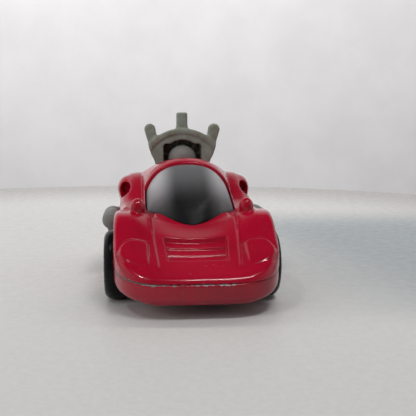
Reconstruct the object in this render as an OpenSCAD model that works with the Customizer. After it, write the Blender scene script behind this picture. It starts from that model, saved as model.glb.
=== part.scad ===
// Pull back car: a painted die-cast racing car with a spring motor on its rear axle.
// The origin is on the ground under the middle of the car. The nose faces -Y and +Z is up.
// Distances called "from the nose" run back along the car from its front face.

/* [Body] */
// Length of the car
body_length = 68; // [66:0.5:72]
// Width across the fenders
body_width = 29.8; // [29:0.2:31]
// Wall of the two castings
body_wall = 1.2; // [1:0.1:1.4]
// Height of the joint between the castings at the nose
parting_height = 6.1; // [5.8:0.1:6.4]
// Height of the base pan's underside
ground_clearance = 2.4; // [2.2:0.1:2.6]
// Gap that shows between the two castings
parting_gap = 0.15; // [0.1:0.05:0.25]

/* [Wheels] */
// Radius of each tyre
tyre_radius = 6.5; // [6.3:0.1:6.6]
// Width of each tyre
tyre_width = 4.8; // [4.4:0.1:4.8]
// Width of the car over its tyres
track_outside = 32.8; // [32.4:0.2:33.4]
// Radius of each hub, which the tyre grips
hub_radius = 4.1; // [3.8:0.1:4.3]
// Radius of the steel axles
axle_radius = 0.75; // [0.7:0.05:0.85]
// Running clearance around an axle
axle_clearance = 0.08; // [0.05:0.01:0.1]
// Front axle, from the nose
front_axle_from_nose = 17.5; // [17:0.5:18]
// Rear axle, from the nose
rear_axle_from_nose = 51.5; // [51:0.5:52]

/* [Motor] */
// Tooth module of the gears
gear_module = 0.4; // [0.38:0.01:0.42]
// Teeth of the pinion on the axle
axle_teeth = 10; // [10:1:10]
// Teeth of the idler's large gear
idler_large_teeth = 20; // [20:1:20]
// Teeth of the idler's small pinion
idler_small_teeth = 10; // [10:1:10]
// Teeth of the spring barrel
barrel_teeth = 22; // [22:1:22]
// Turns of the flat spiral spring
spring_turns = 5; // [4:1:6]

/* [Hidden] */
$fn = 48;

half_length = body_length / 2;
half_width = body_width / 2;
wheel_height = tyre_radius;
front_axle_y = front_axle_from_nose - half_length;
rear_axle_y = rear_axle_from_nose - half_length;
wheel_inside = track_outside / 2 - tyre_width;
front_side_play = 0.4;
arch_radius = tyre_radius + 0.9;
sill_height = 5;
tail_sill_height = 6.6;
shoulder_radius = 2.6;

// ---- Curves shared by the castings -------------------------------------------------

// Smooth curve through [place, value] points, by Catmull-Rom between neighbours
function span(points, at, i = 0) =
    i >= len(points) - 2 || at < points[i + 1][0] ? i : span(points, at, i + 1);
function slope(points, i) =
    let (before = max(0, i - 1), after = min(len(points) - 1, i + 1))
    (points[after][1] - points[before][1]) / (points[after][0] - points[before][0]);
function curve(points, at) =
    let (
        i = span(points, at),
        width = points[i + 1][0] - points[i][0],
        u = min(1, max(0, (at - points[i][0]) / width)),
        rise = points[i + 1][1] - points[i][1]
    )
    points[i][1] + rise * u * u * (3 - 2 * u)
        + slope(points, i) * width * u * (1 - u) * (1 - u)
        - slope(points, i + 1) * width * u * u * (1 - u);
function smooth_step(low, high, x) =
    let (u = min(1, max(0, (x - low) / (high - low)))) u * u * (3 - 2 * u);

// Height of the body along its middle, [from the nose, height]
middle_line = [
    [0, parting_height + 0.2], [0.5, 6.95], [1.4, 7.5], [6, 9.35], [13, 11.9], [18.5, 13.3],
    [24, 15.6], [31, 22.8], [34.5, 24.5], [37.5, 25.2], [43, 24.2], [48, 21.2], [53, 18.8],
    [60, 17], [66, 14.6], [body_length, 12.8]
];
// Height along the two ridges that edge the hood panel
ridge_line = [
    [0, parting_height + 0.2], [0.5, 6.92], [1.4, 7.45], [3.5, 8.4], [10, 11.2], [15, 13.6],
    [20, 15.5], [24, 16], [34, 16.5], [body_length, 16.5]
];
// Height along the top of the fenders and haunches
crest_line = [
    [0, parting_height + 0.2], [0.5, 6.9], [1.4, 7.4], [4, 8.9], [11, 12.6], [15, 15.2],
    [18, 16.2], [22, 16.2], [28, 15.6], [34, 16.5], [40, 19.3], [45, 21.1], [49, 21.3],
    [54, 20.3], [60, 18.2], [66, 14.8], [body_length, 12.8]
];
// Glass along its middle
glass_line = [[18, 12.3], [20.5, 14.9], [24, 18.4], [28, 21.3], [32, 23], [37, 23.6]];

// Half width of the castings, rounded at the nose and the tail
nose_round = 12;
nose_power = 0.256;
nose_flat = 5;
tail_round = 6.5;
function rounded(u, power) = pow(max(0, 1 - pow(max(0, 1 - u), power)), 1 / power);
function body_half(t) =
    t < nose_round ? half_width * pow(1 - pow(1 - t / nose_round, 2), nose_power)
    : t > body_length - tail_round
        ? (half_width - 0.4) * (0.6 + 0.4 * rounded((body_length - t) / tail_round, 2.4))
    : half_width - 0.4 * smooth_step(22, 32, t);

// Height of the skin at x across and t from the nose, before the shoulder is rounded
function skin_height(x, t) =
    let (
        middle = curve(middle_line, t),
        crest = curve(crest_line, t),
        ridge = min(crest, curve(ridge_line, t)),
        ridge_x = 7.2 + 1.2 * min(1, max(0, (t - 3.5) / 16.5)),
        roof = middle > crest ? sqrt(max(0, 1 - pow(min(1, abs(x) / 9.4), 2.2))) : 0
    )
    middle > crest ? crest + (middle - crest) * roof
        : abs(x) < ridge_x ? middle + (ridge - middle) * pow(x / ridge_x, 2)
        : ridge + (crest - ridge) * smooth_step(ridge_x - 1, 12, abs(x));

// Lower edge of the body: the joint line, the sill and the two wheel arches
function arch_height(t, centre) =
    let (run = abs(t - centre))
    run < arch_radius ? wheel_height + sqrt(arch_radius * arch_radius - run * run) : 0;
function joint_height(t) = parting_height + parting_gap / 2 + 0.13 * t;
function rim_height(t) =
    t < front_axle_from_nose - arch_radius ? joint_height(t)
    : t > rear_axle_from_nose + arch_radius ? tail_sill_height
    : sill_height;
function lower_edge(t) =
    max(rim_height(t), arch_height(t, front_axle_from_nose), arch_height(t, rear_axle_from_nose));

// One section of the skin as points [x, z], from the left lower edge over to the right one
section_steps = 9;
round_steps = 4;
function half_section(half, t, foot, drop) =
    let (
        radius = min(shoulder_radius, half * 0.6, max(0.3, skin_height(half, t) - foot)),
        flat = half - radius,
        lift = drop > 0 ? 0.05 : 0.12,
        over = [for (i = [0:section_steps]) [flat * i / section_steps,
            max(rim_height(t) + lift, skin_height(flat * i / section_steps, t) - drop)]],
        turn = [for (i = [1:round_steps])
            let (a = 90 * i / round_steps, x = flat + radius * sin(a))
            [x, max(foot + lift, skin_height(x, t) - drop - radius * (1 - cos(a)))]]
    )
    concat(over, turn, [[half, foot]]);
function full_section(half, t, foot, drop) =
    let (right = half_section(half, t, foot, drop), n = len(right))
    concat(
        [for (i = [n - 1:-1:1]) [-right[i][0], right[i][1]]],
        right
    );

// A ring is an outer section followed by the inner one in reverse
function inner_half(t) = max(2, min(body_half(max(0, t - body_wall)),
    body_half(min(body_length, t + body_wall))) - body_wall);
function ring(t) =
    let (
        foot = lower_edge(t),
        drop = body_length - t < body_wall ? body_length : body_wall * min(1.6, 1 + 1.2 * max(0, 1 - t / 3)),
        half = max(nose_flat, body_half(t)),
        outer = full_section(half, t, foot, 0),
        inner = full_section(min(inner_half(t), half - 0.4), t, foot, drop)
    )
    [for (p = concat(outer, [for (i = [len(inner) - 1:-1:0]) inner[i]]))
        [p[0], t - half_length, p[1]]];

// Skin over a list of rings with the same number of points
module loft(rings) {
    n = len(rings[0]);
    last = len(rings) - 1;
    polyhedron(
        points = [for (r = rings) each r],
        faces = concat(
            [[for (i = [0:n - 1]) i]],
            [for (k = [0:last - 1], i = [0:n - 1])
                let (a = k * n + i, b = k * n + (i + 1) % n)
                [b, a, a + n]],
            [for (k = [0:last - 1], i = [0:n - 1])
                let (a = k * n + i, b = k * n + (i + 1) % n)
                [b, a + n, b + n]],
            [[for (i = [n - 1:-1:0]) last * n + i]]
        )
    );
}

// ---- Castings ----------------------------------------------------------------------

stations = concat([0, 0.25, 0.6, 1, 1.6, 2.4], [for (t = [3.8:1.6:66.2]) t], [body_length - body_wall + 0.1, body_length]);

// Plan outline of the cockpit opening, [across, from the nose]
opening_front = 19.5;
opening_back = 34.5;
opening_half = 8.8;
opening_shelf = 5.6;
function opening_half_at(t) =
    let (run = t - opening_front)
    run < 3.1 ? opening_shelf * pow(max(0, run / 3.1), 0.625)
    : opening_shelf + (opening_half - opening_shelf) * pow(min(1, (run - 3.1) / 1.4), 0.6);
opening_rows = [for (run = [0, 0.15, 0.45, 0.9, 1.5, 2.2, 2.8, 3.1, 3.3, 3.7, 4.1, 4.6]) opening_front + run];
module opening_outline() {
    polygon(concat(
        [for (t = opening_rows) [opening_half_at(t), t - half_length]],
        [[opening_half, opening_back - half_length], [-opening_half, opening_back - half_length]],
        [for (i = [len(opening_rows) - 1:-1:0]) [-opening_half_at(opening_rows[i]), opening_rows[i] - half_length]]
    ));
}

// Mirror pod on its stalk
mirror_x = 10.4;
mirror_y = -12;
mirror_z = 16.5;
module mirror_pod() {
    hull() {
        translate([0, 0, -0.25]) sphere(r = 1.5, $fn = 18);
        translate([0, 1, 0.35]) sphere(r = 1.35, $fn = 18);
    }
    translate([-0.4, 0.4, -2.2]) cylinder(r = 0.8, h = 2);
}

// Headlight cover, raised a little from the fender, [across, from the nose, corner radius]
headlight_corners = [[8.9, 4.9, 0.7], [8.7, 9.6, 0.6], [11.6, 9.7, 1.2], [11.6, 6.2, 1.4]];
headlight_rise = 0.3;
headlight_depth = 1;
module headlight_cover() {
    hull() for (c = headlight_corners)
        translate([c[0], c[1] - half_length, skin_height(c[0], c[1]) + headlight_rise - headlight_depth])
            cylinder(r = c[2], h = headlight_depth, $fn = 18);
}

// Where the rivets and the side pods hold on
rivet_front_y = -25.5;
rivet_rear_y = 29;
rivet_radius = 0.8;
rivet_head = 1.5;
rivet_sink = 0.6;
pod_peg_y = 6.2;
pod_z = 12.1;

module body_shell() {
    color([0.66, 0.05, 0.1]) resize([0, body_length, 0]) union() {
        difference() {
            loft([for (t = stations) ring(t)]);
            translate([0, 0, 12]) linear_extrude(30) opening_outline();
            vent_recess();
            for (side = [-1, 1]) {
                scoop(side);
                translate([side * half_width, pod_peg_y, pod_z]) rotate([0, 90, 0])
                    cylinder(r = 1, h = 6, center = true, $fn = 20);
            }
            translate([0, 18.65, 16]) cube([12.4, 9.3, 14], center = true);
        }
        for (side = [0, 1]) mirror([side, 0, 0]) {
            translate([mirror_x, mirror_y, mirror_z]) mirror_pod();
            headlight_cover();
        }
        rivet_post(rivet_front_y, 8.4);
        rivet_post(rivet_rear_y, 14.5);
    }
}
module rivet_post(y, top) {
    difference() {
        translate([0, y, 4.2]) cylinder(r = 1.9, h = top - 4.2);
        translate([0, y, 4]) cylinder(r = rivet_radius + 0.06, h = 3);
    }
}
module vent_recess() {
    slope_angle = 20;
    for (row = [0:2])
        translate([0, 7.2 + row * 2.3 - half_length, 9.75 + row * 0.84]) rotate([slope_angle, 0, 0])
            cube([11.4, 1.9, 0.9], center = true);
}
module scoop(side) {
    translate([side * 12.6, 10.2, 17.6]) rotate([80, 0, 0]) cylinder(r = 1.1, h = 5, center = true);
}

floor_top = ground_clearance + 1.1;
pan_back = body_length - 1;
pan_rows = concat([0, 0.35, 0.7, 1.1, 1.6, 2.3, 3.2, 4.3, 5.6, 7.4, nose_round],
    [for (t = [body_length - tail_round:0.9:pan_back - 0.1]) t], [pan_back]);
module pan_outline(inset = 0) {
    polygon(concat(
        [for (t = pan_rows) [max(nose_flat, body_half(t)) - inset, min(pan_back - inset, t + inset) - half_length]],
        [for (i = [len(pan_rows) - 1:-1:0])
            [inset - max(nose_flat, body_half(pan_rows[i])), min(pan_back - inset, pan_rows[i] + inset) - half_length]]
    ));
}
// Side view of the rim: front valance, sills and tail
module rim_side() {
    front_end = front_axle_from_nose - arch_radius;
    sill_start = front_axle_from_nose + arch_radius;
    sill_end = rear_axle_from_nose - arch_radius;
    tail_start = rear_axle_from_nose + arch_radius;
    gap = parting_gap;
    polygon([[0, 2.5], [3, 2.8], [front_end, 4.2], [front_end, joint_height(front_end) - gap], [0, joint_height(0) - gap]]);
    polygon([[sill_start, ground_clearance], [sill_end, ground_clearance], [sill_end, sill_height - gap],
        [sill_start, sill_height - gap]]);
    polygon([[tail_start, 4.6], [tail_start + 3, 2.6], [body_length, 3], [body_length, tail_sill_height - gap],
        [tail_start, tail_sill_height - gap]]);
}
module base_pan() {
    lug_gap = 8.6;
    color([0.52, 0.16, 0.2]) difference() {
        union() {
            intersection() {
                linear_extrude(12) difference() {
                    pan_outline();
                    pan_outline(body_wall);
                }
                rotate([90, 0, 90]) translate([-half_length, 0, -half_width - 1])
                    linear_extrude(body_width + 2) rim_side();
            }
            translate([0, 0, ground_clearance]) linear_extrude(floor_top - ground_clearance) pan_floor();
            for (side = [-1, 1])
                translate([side * lug_gap - 0.8, front_axle_y - 2, floor_top - 0.2])
                    cube([1.6, 4, wheel_height + 2 - floor_top]);
        }
        translate([0, front_axle_y, wheel_height]) rotate([0, 90, 0])
            cylinder(r = axle_radius + axle_clearance, h = 30, center = true);
        translate([-8.3, motor_front - 0.3, 0]) cube([16.6, motor_back - motor_front + 0.6, 8]);
        for (y = [rivet_front_y, rivet_rear_y]) translate([0, y, 0]) {
            cylinder(r = rivet_radius + 0.06, h = 8);
            cylinder(r = rivet_head + 0.06, h = ground_clearance + rivet_sink);
        }
    }
}
module pan_floor() {
    difference() {
        intersection() {
            pan_outline(0.4);
            translate([-half_width, 1 - half_length]) square([body_width, body_length]);
        }
        for (y = [front_axle_y, rear_axle_y], side = [0, 1]) mirror([side, 0])
            translate([wheel_inside - 0.8, y - arch_radius]) square([10, arch_radius * 2]);
        for (side = [0, 1]) mirror([side, 0])
            translate([wheel_inside - 0.8, -half_length - 1]) square([10, front_axle_from_nose]);
        for (side = [0, 1]) mirror([side, 0])
            translate([wheel_inside - 0.8, rear_axle_y]) square([10, 20]);
    }
}

// ---- Cockpit -----------------------------------------------------------------------

glass_wall = 0.7;
function glass_section(t, drop) =
    let (
        half = opening_half_at(t) - 0.4 - drop * 0.8,
        top = curve(glass_line, t) - drop,
        foot = min(top - 0.3, 12.8 + 0.28 * (t - opening_front))
    )
    [for (i = [0:16])
        let (a = 180 - 180 * i / 16)
        [half * cos(a), foot + (top - foot) * pow(sin(a), 0.85)]];
function glass_ring(t) =
    [for (p = concat(glass_section(t, 0), [for (i = [16:-1:0]) glass_section(t, glass_wall)[i]]))
        [p[0], t - half_length, p[1]]];
module canopy() {
    stations = concat([20.2, 20.6, 21.2, 21.9, 22.5, 23, 23.5, 24], [for (t = [25:1.5:33.5]) t], [34.2]);
    color([0.16, 0.16, 0.18, 0.75]) resize([0, 14, 0]) loft([for (t = stations) glass_ring(t)]);
}
module interior_tub() {
    tub_top = 11.4;
    tub_floor = floor_top + 0.05;
    color([0.1, 0.1, 0.11]) {
        difference() {
            translate([-7.2, -13, tub_floor]) cube([14.4, 10.4, tub_top - tub_floor]);
            translate([-6.2, -12, tub_floor + 1]) cube([12.4, 8.4, 10]);
        }
        for (x = [-3.1, 3.1]) translate([x, -4.6, 0]) {
            translate([-2, -4, tub_floor + 1]) cube([4, 4, 1.4]);
            translate([-2, 0, tub_floor + 1]) cube([4, 1, 7]);
        }
    }
}

// ---- Turbine and pods ----------------------------------------------------------------

turbine_front = 14.5;
turbine_depth = 8.5;
duct_z = 24.1;
duct_radius = 4.3;
arch_top_radius = 9.9;
arch_centre_z = 20.9;
module cowl_outline() {
    intersection() {
        polygon([[-5, 18.4], [5, 18.4], [5.8, 23.2], [8.4, 30.4], [-8.4, 30.4], [-5.8, 23.2]]);
        translate([0, arch_centre_z]) circle(r = arch_top_radius);
    }
}
module side_prong() {
    polygon([[5.7, 23.2], [8.7, 31], [8.4, 32], [6.3, 32], [5.6, 30.9], [4.9, 27]]);
}
module centre_prong() {
    polygon([[-1.6, 29.5], [1.6, 29.5], [1.2, 31.6], [1.2, 34.4], [1, 34.6], [-1, 34.6], [-1.2, 34.4], [-1.2, 31.6]]);
}
module front_view(y, depth) {
    translate([0, y + depth, 0]) rotate([90, 0, 0]) linear_extrude(depth) children();
}
module turbine_cowl() {
    color([0.36, 0.37, 0.34]) {
        difference() {
            union() {
                front_view(turbine_front, turbine_depth) cowl_outline();
                front_view(turbine_front + 0.4, 3) union() {
                    side_prong();
                    mirror([1, 0]) side_prong();
                    centre_prong();
                }
            }
            translate([0, turbine_front - 1, duct_z]) rotate([-90, 0, 0]) cylinder(r = duct_radius, h = turbine_depth - 0.2);
            translate([0, turbine_front, duct_z]) rotate([-90, 0, 0]) cylinder(r = 1, h = 20);
        }
        translate([-4.5, turbine_front, motor_top + 0.05]) cube([9, 6.8, 18.8 - motor_top]);
    }
}
module nose_cone() {
    color([0.5, 0.5, 0.48]) translate([0, turbine_front + 1.6, duct_z]) rotate([-90, 0, 0]) {
        intersection() {
            sphere(r = 3.2);
            translate([0, 0, -4]) cylinder(r = 4, h = 4);
        }
        cylinder(r = 1, h = turbine_depth - 1.8);
    }
}
pod_x = 15.75;
pod_radius = 2.1;
pod_front_y = 1.2;
pod_length = 9.6;
module side_pod() {
    flank = half_width - 0.1;
    difference() {
        union() {
            translate([pod_x, pod_front_y, pod_z]) rotate([-90, 0, 0]) rotate_extrude() polygon(concat(
                [for (a = [0:10:90]) [pod_radius * sin(a), pod_radius * (1 - cos(a))]],
                [[pod_radius, pod_length], [0, pod_length]]
            ));
            translate([pod_x + 0.2, pod_front_y + 2, pod_z - pod_radius - 1.2]) cube([0.8, 5.4, 2]);
        }
        translate([flank - 10, -5, 0]) cube([10, 30, 30]);
        translate([pod_x + 0.3, pod_front_y + pod_length - 2.4, pod_z]) rotate([-90, 0, 0]) cylinder(r = 1.3, h = 3);
    }
    translate([flank - 2, pod_peg_y, pod_z]) rotate([0, 90, 0]) cylinder(r = 0.85, h = 2.4);
}
module side_pod_left() { color([0.41, 0.42, 0.41]) mirror([1, 0, 0]) side_pod(); }
module side_pod_right() { color([0.41, 0.42, 0.41]) side_pod(); }

// ---- Wheels --------------------------------------------------------------------------

// Turned about the X axis, drawn for the right side
module on_axle(y) {
    translate([y == front_axle_y ? -front_side_play : 0, y, wheel_height]) rotate([0, 90, 0]) children();
}
module tyre() {
    round = 1.5;
    inset = 0.5;
    rotate_extrude($fn = 64) polygon(concat(
        [[hub_radius, 0.4], [tyre_radius - round, 0]],
        [for (a = [15:15:75]) [tyre_radius - round + round * sin(a), round - round * cos(a)]],
        [[tyre_radius, round], [tyre_radius, tyre_width - round]],
        [for (a = [15:15:75]) [tyre_radius - round + round * cos(a), tyre_width - round + round * sin(a)]],
        [[tyre_radius - round, tyre_width], [hub_radius, tyre_width - inset]]
    ));
}
module hub() {
    web = 1.4;
    difference() {
        union() {
            cylinder(r = hub_radius, h = tyre_width - 0.7);
            translate([0, 0, -0.5]) cylinder(r = 1.7, h = 2);
        }
        translate([0, 0, tyre_width - 0.7 - web]) difference() {
            cylinder(r = hub_radius - 0.6, h = 5);
            cylinder(r = 1.5, h = 5);
            for (i = [0:4]) rotate([0, 0, 72 * i]) translate([0, -0.6, 0]) cube([hub_radius, 1.2, 5]);
        }
        translate([0, 0, -1]) cylinder(r = axle_radius, h = 10);
    }
}
module wheel_at(y, side) {
    on_axle(y) mirror([0, 0, side < 0 ? 1 : 0]) translate([0, 0, wheel_inside]) children();
}
module axle(y) {
    on_axle(y) cylinder(r = axle_radius, h = track_outside - 1.4, center = true);
}
module front_axle() { color("silver") axle(front_axle_y); }
module rear_axle() { color("silver") axle(rear_axle_y); }
module front_hub_left() { color([0.35, 0.35, 0.36]) wheel_at(front_axle_y, -1) hub(); }
module front_hub_right() { color([0.35, 0.35, 0.36]) wheel_at(front_axle_y, 1) hub(); }
module rear_hub_left() { color([0.35, 0.35, 0.36]) wheel_at(rear_axle_y, -1) hub(); }
module rear_hub_right() { color([0.35, 0.35, 0.36]) wheel_at(rear_axle_y, 1) hub(); }
module front_tyre_left() { color([0.05, 0.05, 0.05]) wheel_at(front_axle_y, -1) tyre(); }
module front_tyre_right() { color([0.05, 0.05, 0.05]) wheel_at(front_axle_y, 1) tyre(); }
module rear_tyre_left() { color([0.05, 0.05, 0.05]) wheel_at(rear_axle_y, -1) tyre(); }
module rear_tyre_right() { color([0.05, 0.05, 0.05]) wheel_at(rear_axle_y, 1) tyre(); }

// ---- Motor ---------------------------------------------------------------------------

// The idler lies ahead of the axle and the barrel ahead of the idler, both a little higher
train_angle = 169;
idler_distance = gear_module * (axle_teeth + idler_large_teeth) / 2;
barrel_distance = gear_module * (idler_small_teeth + barrel_teeth) / 2;
idler_y = rear_axle_y + idler_distance * cos(train_angle);
idler_z = wheel_height + idler_distance * sin(train_angle);
barrel_y = idler_y + barrel_distance * cos(train_angle);
barrel_z = idler_z + barrel_distance * sin(train_angle);
shaft_radius = 0.6;
shaft_clearance = 0.06;
motor_front = barrel_y - 6.4;
motor_back = rear_axle_y + 5;
motor_bottom = ground_clearance + 0.05;
motor_top = barrel_z + 6.2;
motor_half = 7.4;
case_wall = 0.9;
case_floor = 0.5;

// Gear drawn with a tooth centred on the +X direction, thinned for backlash
module gear_outline(teeth) {
    pitch = gear_module * teeth / 2;
    root = pitch - 1.25 * gear_module;
    tip = pitch + 0.9 * gear_module;
    step = 360 / teeth;
    polygon([for (i = [0:teeth - 1], p = [[-0.31, root], [-0.205, pitch], [-0.09, tip], [0.09, tip], [0.205, pitch], [0.31, root]])
        [p[1] * cos(step * (i + p[0])), p[1] * sin(step * (i + p[0]))]]);
}
// Places a gear so that local +X points along the train and +Z along the car's X
module on_train(y, z, turn) {
    translate([0, y, z]) rotate([train_angle, 0, 0]) rotate([90, 0, 90]) rotate([0, 0, turn]) children();
}
axle_turn = 0;
idler_large_turn = 180 + 180 / idler_large_teeth;
idler_small_turn = 0;
barrel_turn = 180 + 180 / barrel_teeth;
module axle_gear() {
    color([0.85, 0.82, 0.7]) on_train(rear_axle_y, wheel_height, axle_turn) translate([0, 0, -4.4]) difference() {
        union() {
            linear_extrude(3) gear_outline(axle_teeth);
            translate([0, 0, 2.9]) cylinder(r = 1.4, h = 3);
        }
        translate([0, 0, -1]) cylinder(r = axle_radius, h = 12);
    }
}
module idler_gear() {
    color([0.9, 0.9, 0.86]) on_train(idler_y, idler_z, 0) difference() {
        union() {
            translate([0, 0, -4]) linear_extrude(2.2) rotate(idler_large_turn) gear_outline(idler_large_teeth);
            translate([0, 0, -1.9]) linear_extrude(2.6) rotate(idler_small_turn) gear_outline(idler_small_teeth);
            translate([0, 0, 0.6]) cylinder(r = 1.3, h = 1.6);
        }
        translate([0, 0, -6]) cylinder(r = shaft_radius + shaft_clearance, h = 14);
    }
}
drum_radius = 4.1;
drum_start = 0.9;
drum_depth = 4.6;
module barrel_gear() {
    color([0.82, 0.84, 0.86]) on_train(barrel_y, barrel_z, 0) difference() {
        union() {
            translate([0, 0, -0.9]) linear_extrude(1.8) rotate(barrel_turn) gear_outline(barrel_teeth);
            translate([0, 0, drum_start - 0.1]) cylinder(r = drum_radius, h = drum_depth + 0.1);
        }
        translate([0, 0, drum_start]) cylinder(r = drum_radius - 0.5, h = drum_depth + 1);
        translate([0, 0, -6]) cylinder(r = shaft_radius + shaft_clearance, h = 14);
    }
}
module shaft(y, z) {
    translate([0, y, z]) rotate([0, 90, 0]) cylinder(r = shaft_radius, h = motor_half * 2 - 0.4, center = true);
}
module idler_shaft() { color("silver") shaft(idler_y, idler_z); }
module barrel_shaft() { color("silver") shaft(barrel_y, barrel_z); }

// Flat strip wound between the barrel shaft and the drum wall
strip_thick = 0.14;
strip_inside = 1;
strip_outside = drum_radius - 0.75;
strip_steps = 24 * spring_turns;
function strip_point(i, offset) =
    let (
        a = 360 * spring_turns * i / strip_steps,
        r = strip_inside + (strip_outside - strip_inside) * i / strip_steps + offset
    )
    [r * cos(a), r * sin(a)];
module mainspring() {
    color([0.55, 0.58, 0.65]) on_train(barrel_y, barrel_z, 0) translate([0, 0, drum_start + 0.5])
        linear_extrude(drum_depth - 1) polygon(concat(
            [for (i = [0:strip_steps]) strip_point(i, strip_thick / 2)],
            [for (i = [strip_steps:-1:0]) strip_point(i, -strip_thick / 2)]
        ));
}

screw_radius = 0.6;
screw_places = [[motor_back - 1.4, motor_top - 1.5], [motor_front + 1.4, motor_bottom + 1.5]];
module case_outline() {
    polygon([
        [motor_front, motor_bottom], [motor_back, motor_bottom], [motor_back, motor_top],
        [motor_front + 1.5, motor_top], [motor_front, motor_top - 1.5]
    ]);
}
// One half of the casing lies between the middle plane and its outer wall
module motor_half_case() {
    rotate([90, 0, 90]) difference() {
        translate([0, 0, 0.05]) linear_extrude(motor_half - 0.05) case_outline();
        difference() {
            translate([motor_front + case_wall, motor_bottom + case_floor, -1]) cube([
                motor_back - motor_front - 2 * case_wall,
                motor_top - motor_bottom - case_wall - case_floor,
                motor_half + 1 - case_wall
            ]);
            for (p = screw_places) translate([p[0], p[1], -2]) cylinder(r = 1.3, h = 20);
        }
        translate([rear_axle_y, wheel_height, -1]) cylinder(r = axle_radius + axle_clearance, h = 20);
        translate([idler_y, idler_z, -1]) cylinder(r = shaft_radius, h = motor_half + 0.8);
        translate([barrel_y, barrel_z, -1]) cylinder(r = shaft_radius, h = motor_half + 0.8);
        for (p = screw_places) translate([p[0], p[1], -1]) cylinder(r = screw_radius, h = 20);
    }
}
module motor_case_left() { color([0.75, 0.76, 0.74]) mirror([1, 0, 0]) motor_half_case(); }
module motor_case_right() { color([0.8, 0.81, 0.79]) motor_half_case(); }
module motor_screws() {
    color("silver") for (p = screw_places) translate([0, p[0], p[1]]) rotate([0, 90, 0]) {
        translate([0, 0, 0.4 - motor_half]) cylinder(r = screw_radius, h = 2 * motor_half - 0.4);
        translate([0, 0, motor_half]) cylinder(r = 1.1, h = 0.6);
    }
}
module base_rivets() {
    color("silver") for (y = [rivet_front_y, rivet_rear_y]) {
        translate([0, y, ground_clearance + 0.2]) cylinder(r = rivet_radius, h = 4);
        translate([0, y, ground_clearance + 0.05]) cylinder(r = rivet_head, h = rivet_sink - 0.08);
    }
}

body_shell();
base_pan();
canopy();
interior_tub();
turbine_cowl();
nose_cone();
side_pod_left();
side_pod_right();
front_axle();
front_hub_left();
front_hub_right();
front_tyre_left();
front_tyre_right();
rear_axle();
rear_hub_left();
rear_hub_right();
rear_tyre_left();
rear_tyre_right();
motor_case_left();
motor_case_right();
axle_gear();
idler_gear();
idler_shaft();
barrel_gear();
barrel_shaft();
mainspring();
motor_screws();
base_rivets();
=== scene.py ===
"""Pull back car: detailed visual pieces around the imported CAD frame.

Shapes are worked out in millimetres in the car's own frame (nose towards -Y, ground at z = 0) as distance
fields on a grid, meshed once, and handed to Blender in metres.
"""
import bpy
import math
import numpy as np
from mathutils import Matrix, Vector


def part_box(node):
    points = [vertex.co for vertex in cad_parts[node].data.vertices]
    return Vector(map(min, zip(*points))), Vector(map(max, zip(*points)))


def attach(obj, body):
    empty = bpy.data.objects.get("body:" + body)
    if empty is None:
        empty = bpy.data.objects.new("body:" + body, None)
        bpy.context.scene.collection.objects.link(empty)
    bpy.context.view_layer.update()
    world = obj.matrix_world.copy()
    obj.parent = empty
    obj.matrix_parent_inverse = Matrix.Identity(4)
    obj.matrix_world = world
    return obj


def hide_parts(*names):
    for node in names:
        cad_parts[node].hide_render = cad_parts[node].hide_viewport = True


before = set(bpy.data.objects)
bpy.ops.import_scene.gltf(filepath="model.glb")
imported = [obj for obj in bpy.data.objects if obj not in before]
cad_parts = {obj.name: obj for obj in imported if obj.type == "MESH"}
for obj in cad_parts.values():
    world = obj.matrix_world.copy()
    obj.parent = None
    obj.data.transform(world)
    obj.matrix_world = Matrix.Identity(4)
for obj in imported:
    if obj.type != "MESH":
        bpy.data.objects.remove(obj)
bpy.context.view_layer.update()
MM = 0.001


# ---- Frame sizes, in millimetres ----------------------------------------------------

def node_box(name):
    low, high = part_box(name)
    return np.array(low) / MM, np.array(high) / MM


SHELL_LOW, SHELL_HIGH = node_box("body_shell")
TYRE_LOW, TYRE_HIGH = node_box("front_tyre_right")
REAR_LOW, REAR_HIGH = node_box("rear_tyre_right")
COWL_LOW, COWL_HIGH = node_box("turbine_cowl")
POD_LOW, POD_HIGH = node_box("side_pod_right")
MOTOR_LOW, MOTOR_HIGH = node_box("motor_case_right")

NOSE_Y = SHELL_LOW[1]
LENGTH = SHELL_HIGH[1] - SHELL_LOW[1]
HALF_WIDTH = SHELL_HIGH[0]
TYRE_RADIUS = TYRE_HIGH[2] / 2
FRONT_AXLE = (TYRE_LOW[1] + TYRE_HIGH[1]) / 2 - NOSE_Y
REAR_AXLE = (REAR_LOW[1] + REAR_HIGH[1]) / 2 - NOSE_Y
ARCH_RADIUS = TYRE_RADIUS + 0.85
BODY_WALL = 1.2
PAN_WALL = 1.1
GLASS_WALL = 0.7
ARCH_INNER = 10.9
FINE_STEP = 0.2
JOINT_NOSE = 6.1
JOINT_SLOPE = 0.13
JOINT_GAP = 0.03


# ---- Curves and distance fields ------------------------------------------------------

def curve(points, at):
    """Catmull-Rom curve through (place, value) points, for an array of places."""
    points = np.array(points, float)
    place, value = points[:, 0], points[:, 1]
    slope = np.gradient(value, place)
    slope[1:-1] = (value[2:] - value[:-2]) / (place[2:] - place[:-2])
    i = np.clip(np.searchsorted(place, at, side="right") - 1, 0, len(place) - 2)
    width = place[i + 1] - place[i]
    u = np.clip((at - place[i]) / width, 0, 1)
    rise = value[i + 1] - value[i]
    return (value[i] + rise * u * u * (3 - 2 * u) + slope[i] * width * u * (1 - u) ** 2
            - slope[i + 1] * width * u * u * (1 - u))


def step(low, high, x):
    u = np.clip((x - low) / (high - low), 0, 1)
    return u * u * (3 - 2 * u)


def join(a, b, k):
    """Union of two fields with a fillet about k wide."""
    h = np.clip(0.5 + 0.5 * (b - a) / k, 0, 1)
    return b + (a - b) * h - k * h * (1 - h)


def both(a, b, k):
    """Overlap of two fields with an edge rounded over about k."""
    return -join(-a, -b, k)


def cut(a, b, k):
    return both(a, -b, k)


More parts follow.
